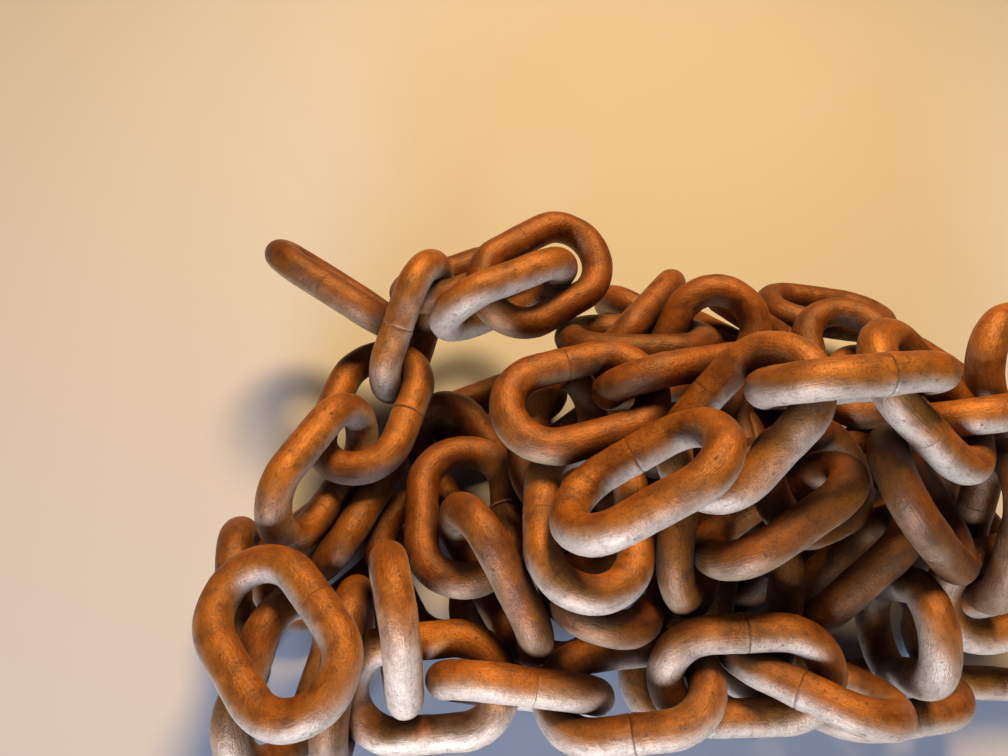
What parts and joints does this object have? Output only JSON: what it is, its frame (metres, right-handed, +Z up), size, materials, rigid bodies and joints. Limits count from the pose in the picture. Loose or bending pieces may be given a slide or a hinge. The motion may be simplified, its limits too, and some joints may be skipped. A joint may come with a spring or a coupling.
{
  "type": "heap of steel chain",
  "caption": "Loose low heap of rusty heavy steel chain, its welded links threaded in runs that lie across each other.",
  "frame": {"origin": "on the floor, under the middle of the heap's box", "axes": "+X along the heap's long way, +Y towards its back, +Z up"},
  "size_m": [0.3406, 0.2211, 0.1414],
  "materials": {
    "rusty_steel_top": "worn, light rust",
    "rusty_steel_left": "rusted",
    "rusty_steel_front": "worn, light rust",
    "rusty_steel_middle": "rusted",
    "rusty_steel_back": "heavy rust",
    "rusty_steel_end": "rusted",
    "dark_rusty_steel": "dark rust in shadow"
  },
  "bodies": {
    "root": {"top_link_01": "rusty_steel_top", "top_link_02": "rusty_steel_top", "top_link_03": "rusty_steel_top", "top_link_04": "rusty_steel_top", "top_link_05": "rusty_steel_top", "top_link_06": "rusty_steel_top", "top_link_07": "rusty_steel_top", "left_link_01": "rusty_steel_left", "left_link_02": "rusty_steel_left", "left_link_03": "rusty_steel_left", "left_link_04": "rusty_steel_left", "left_link_05": "rusty_steel_left", "left_link_06": "rusty_steel_left", "left_link_07": "rusty_steel_left", "left_link_08": "rusty_steel_left", "left_link_09": "rusty_steel_left", "left_link_10": "rusty_steel_left", "front_link_01": "rusty_steel_front", "front_link_02": "rusty_steel_front", "front_link_03": "rusty_steel_front", "front_link_04": "rusty_steel_front", "front_link_05": "rusty_steel_front", "front_link_06": "rusty_steel_front", "front_link_07": "rusty_steel_front", "front_link_08": "rusty_steel_front", "front_link_09": "rusty_steel_front", "front_link_10": "rusty_steel_front", "front_link_11": "rusty_steel_front", "front_link_12": "rusty_steel_front", "middle_link_01": "rusty_steel_middle", "middle_link_02": "rusty_steel_middle", "middle_link_03": "rusty_steel_middle", "middle_link_04": "rusty_steel_middle", "middle_link_05": "rusty_steel_middle", "middle_link_06": "rusty_steel_middle", "middle_link_07": "rusty_steel_middle", "middle_link_08": "rusty_steel_middle", "middle_link_09": "rusty_steel_middle", "middle_link_10": "rusty_steel_middle", "middle_link_11": "rusty_steel_middle", "middle_link_12": "rusty_steel_middle", "back_link_01": "rusty_steel_back", "back_link_02": "rusty_steel_back", "back_link_03": "rusty_steel_back", "back_link_04": "rusty_steel_back", "back_link_05": "rusty_steel_back", "back_link_06": "rusty_steel_back", "back_link_07": "rusty_steel_back", "back_link_08": "rusty_steel_back", "back_link_09": "rusty_steel_back", "back_link_10": "rusty_steel_back", "back_link_11": "rusty_steel_back", "back_link_12": "rusty_steel_back", "back_link_13": "rusty_steel_back", "back_link_14": "rusty_steel_back", "back_link_15": "rusty_steel_back", "end_link_01": "rusty_steel_end", "end_link_02": "rusty_steel_end", "end_link_03": "rusty_steel_end", "core": "dark_rusty_steel"}
  },
  "joints": []
}
